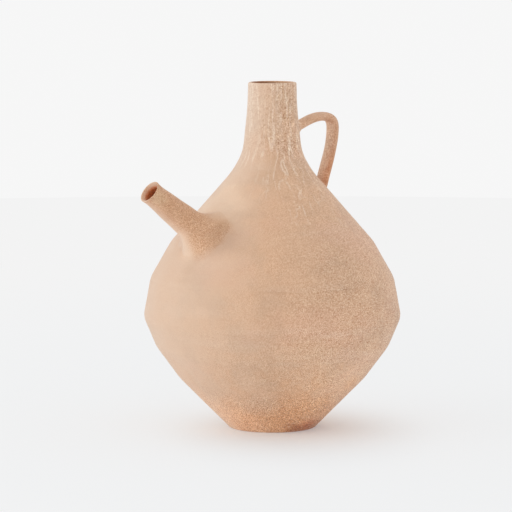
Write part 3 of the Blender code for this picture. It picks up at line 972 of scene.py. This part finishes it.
def handle_seats(sizes):
    neck = at_height(BAND_TOPS[-1][1], NECK_WAIST, NECK_MOUTH.y - sizes.neck_drop)
    foot = SHOULDER_HIGH + way(SHOULDER_HIGH, SHOULDER_LOW) * sizes.foot_down
    return seat_at(neck.x, neck.y, sizes.neck_angle, 1), seat_at(foot.x, foot.y, sizes.foot_angle, 1)


def handle_stations(sizes, neck_seat, foot_seat):
    """Frames along the strap, from the neck to the shoulder: its place, the way it runs and how it wavers."""
    neck, foot = neck_seat.translation, foot_seat.translation
    neck_way, foot_way = neck_seat.col[2].xyz, foot_seat.col[2].xyz
    start, end = neck + neck_way * sizes.root_run, foot + foot_way * sizes.root_run
    crest = neck + Vector((sizes.crest_reach, 0, sizes.crest_rise))
    bend = Vector((neck.x + sizes.reach, 0, crest.z - sizes.bend_drop))
    out, down = Vector((1, 0, 0)), Vector((0, 0, -1))
    spans = (
        (start, neck_way, crest, -out, 1 / 3),
        (crest, out, bend, -down, 1 / 2),
        (bend, down, end, foot_way, 1 / 3),
    )
    line = []
    for first, leaving, last, arriving, pull in spans:
        length = (last - first).length * pull
        handles = first + leaving * length, last + arriving * length
        points = interpolate_bezier(first, *handles, last, CURVE_POINTS)
        line += points if not line else points[1:]
    ways = [way(before, after) for before, after in zip(line, line[2:])]
    frames = []
    for point, ahead in zip(line, (neck_way, *ways, -foot_way)):
        turned = Matrix((WIDTHWAYS.cross(ahead), WIDTHWAYS, ahead)).transposed()
        sway = noise.noise(point * STRAP_PITCH)
        pulled = Matrix.Diagonal([1 + share * sway for share in STRAP_SWAY])
        frames.append(Matrix.Translation(point) @ (turned @ pulled).to_4x4())
    return frames


class JUG_OT_handle(bpy.types.Operator):
    """Builds the strap handle and the pads at its roots"""

    bl_idname = "jug.handle"
    bl_label = "Handle"

    def execute(self, context):
        sizes = context.scene.jug_handle
        tree = wall_tree()
        neck_seat, foot_seat = handle_seats(sizes)
        self.make_strap(sizes, tree, neck_seat, foot_seat)

        def semi_axes(level):
            return sizes.thickness / 2, sizes.width / 2

        for node, seat in (("handle_neck_pad", neck_seat), ("handle_shoulder_pad", foot_seat)):
            pad = fillet(tree, seat, semi_axes, sizes.pad_rise, sizes.pad_flare, steps=56, rows=8)
            set_piece(node, pad, ("sandy_body",))
        return {"FINISHED"}

    def make_strap(self, sizes, tree, neck_seat, foot_seat):
        bm = bmesh.new()
        ring = bmesh.ops.create_circle(bm, cap_ends=False, segments=STRAP_TURNS, radius=0.5)["verts"]
        edges = list(bm.edges)
        bmesh.ops.scale(bm, vec=(sizes.thickness, sizes.width, 1), verts=ring)
        last = Matrix.Identity(4)
        rings = []
        foot_frame = foot_seat @ Matrix.Rotation(math.pi, 4, "Y")
        for station in (neck_seat, *handle_stations(sizes, neck_seat, foot_seat), foot_frame):
            if rings:
                grown = bmesh.ops.extrude_edge_only(bm, edges=edges)["geom"]
                ring = [part for part in grown if isinstance(part, bmesh.types.BMVert)]
                edges = [part for part in grown if isinstance(part, bmesh.types.BMEdge) and part.is_boundary]
                edges = [edge for edge in edges if all(end in ring for end in edge.verts)]
            bmesh.ops.transform(bm, matrix=station @ last.inverted(), verts=ring)
            last = station
            rings.append((ring, edges))
        for seat, (end, rim) in ((neck_seat, rings[0]), (foot_seat, rings[-1])):
            for vertex in end:
                x, y, _ = seat.inverted() @ vertex.co
                vertex.co = seat @ Vector((x, y, wall_level(tree, seat, x, y)))
            bmesh.ops.contextual_create(bm, geom=rim)
        bmesh.ops.recalc_face_normals(bm, faces=bm.faces)
        set_piece("handle_strap", bm, ("sandy_handle",))


class JUG_OT_coils(bpy.types.Operator):
    """Gives the coils inside the joints the dark clay of painted shade"""

    bl_idname = "jug.coils"
    bl_label = "Coils"

    def execute(self, context):
        for name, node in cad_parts.items():
            if name.endswith("_coil"):
                node.data.materials.clear()
                node.data.materials.append(clay_of("painted_shade_inside"))
        return {"FINISHED"}


class JUG_OT_stage(bpy.types.Operator):
    """Sets the floor, the light and the camera"""

    bl_idname = "jug.stage"
    bl_label = "Stage"

    def execute(self, context):
        stage = context.scene.jug_stage
        context.scene.view_settings.view_transform = "Standard"
        right = Vector((math.cos(stage.azimuth), math.sin(stage.azimuth), 0))
        back = Vector((math.sin(stage.azimuth), -math.cos(stage.azimuth), 0))
        self.make_camera(context, stage, right, back)
        self.make_floor(context, stage, right, back)
        self.make_light(context, stage, right, back)
        return {"FINISHED"}

    def make_camera(self, context, stage, right, back):
        data = bpy.data.cameras.new("camera")
        data.lens = stage.lens
        data.sensor_width = SENSOR_WIDTH
        data.clip_end = 100
        camera = bpy.data.objects.new("camera", data)
        camera.location = back * stage.distance + Vector((0, 0, stage.height)) - right * stage.aside
        camera.rotation_euler = (math.pi / 2 - stage.pitch, 0, stage.azimuth)
        context.scene.collection.objects.link(camera)
        context.scene.camera = camera

    def make_floor(self, context, stage, right, back):
        bm = bmesh.new()
        bmesh.ops.create_circle(bm, cap_ends=True, segments=128, radius=FLOOR_RADIUS)
        mesh = bpy.data.meshes.new("floor")
        bm.to_mesh(mesh)
        bm.free()
        material = bpy.data.materials.new("pale_floor")
        material.use_nodes = True
        tree = material.node_tree
        tree.nodes.clear()
        lit = add_node(tree, "ShaderNodeBsdfDiffuse", {"Color": (*stage.floor, 1)}).outputs["BSDF"]
        # The floor glows: an emission, mixed in least round the jug and more further out, lightens its real
        # shadow away from the jug and also lights the jug from below
        plain = add_node(tree, "ShaderNodeEmission", {"Color": (*stage.backdrop, 1), "Strength": FLOOR_GLOW})
        place = tree.nodes.new("ShaderNodeTexCoord").outputs["Object"]
        away = vectors(tree, "SUBTRACT", place, SHADE_PLACE)
        across = times(tree, dot(tree, away, tuple(right)), SHADE_SQUEEZE)
        along = dot(tree, away, tuple(back))
        flat = add_node(tree, "ShaderNodeCombineXYZ", {"X": across, "Y": along}).outputs["Vector"]
        off = vectors(tree, "LENGTH", flat)
        near = span(tree, off, *SHADE_NEAR, stage.near_glow, 0.7)
        share = plus(tree, near, span(tree, off, *SHADE_FAR, 0.0, 0.3))
        mixed = add_node(tree, "ShaderNodeMixShader", {0: share, 1: lit, 2: plain.outputs["Emission"]})
        add_node(tree, "ShaderNodeOutputMaterial", {"Surface": mixed.outputs["Shader"]})
        mesh.materials.append(material)
        floor = bpy.data.objects.new("floor", mesh)
        context.scene.collection.objects.link(floor)

    def make_light(self, context, stage, right, back):
        world = bpy.data.worlds.new("even_light")
        context.scene.world = world
        world.use_nodes = True
        tree = world.node_tree
        tree.nodes.clear()
        seen = add_node(tree, "ShaderNodeBackground", {"Color": (*stage.backdrop, 1), "Strength": 1.0})
        cast = add_node(tree, "ShaderNodeBackground", {"Color": (1, 1, 1, 1), "Strength": stage.sky})
        rays = tree.nodes.new("ShaderNodeLightPath")
        mix = add_node(
            tree,
            "ShaderNodeMixShader",
            {0: rays.outputs["Is Camera Ray"], 1: cast.outputs["Background"], 2: seen.outputs["Background"]},
        )
        add_node(tree, "ShaderNodeOutputWorld", {"Surface": mix.outputs["Shader"]})
        data = bpy.data.lights.new("key", "AREA")
        data.energy = stage.key
        data.shape = "DISK"
        data.size = LAMP_SIZE
        lamp = bpy.data.objects.new("key", data)
        lamp.location = right * -LAMP_ASIDE + back * LAMP_AHEAD + Vector((0, 0, LAMP_UP))
        aim = Vector((0, 0, LAMP_AIM)) - lamp.location
        lamp.rotation_euler = aim.to_track_quat("-Z", "Y").to_euler()
        context.scene.collection.objects.link(lamp)


class JUG_PT_panel(bpy.types.Panel):
    """Lists the jug's pieces"""

    bl_idname = "JUG_PT_panel"
    bl_label = "Terracotta Jug"
    bl_space_type = "VIEW_3D"
    bl_region_type = "UI"
    bl_category = "Jug"

    def draw(self, context):
        for operator in OPERATORS:
            self.layout.operator(operator.bl_idname)


GROUPS = {
    "jug_body": JugBodySizes,
    "jug_spout": JugSpoutSizes,
    "jug_handle": JugHandleSizes,
    "jug_clays": JugClays,
    "jug_stage": JugStage,
}
OPERATORS = (JUG_OT_base, JUG_OT_body, JUG_OT_coils, JUG_OT_spout, JUG_OT_handle, JUG_OT_stage)
CLASSES = (*GROUPS.values(), *OPERATORS, JUG_PT_panel)


def register():
    for kind in CLASSES:
        bpy.utils.register_class(kind)
    for name, group in GROUPS.items():
        setattr(bpy.types.Scene, name, PointerProperty(type=group))


def unregister():
    for name in GROUPS:
        delattr(bpy.types.Scene, name)
    for kind in reversed(CLASSES):
        bpy.utils.unregister_class(kind)


def main():
    register()
    bpy.ops.jug.base()
    bpy.ops.jug.body()
    bpy.ops.jug.coils()
    bpy.ops.jug.spout()
    bpy.ops.jug.handle()
    bpy.ops.jug.stage()
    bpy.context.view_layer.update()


if __name__ == "__main__":
    main()
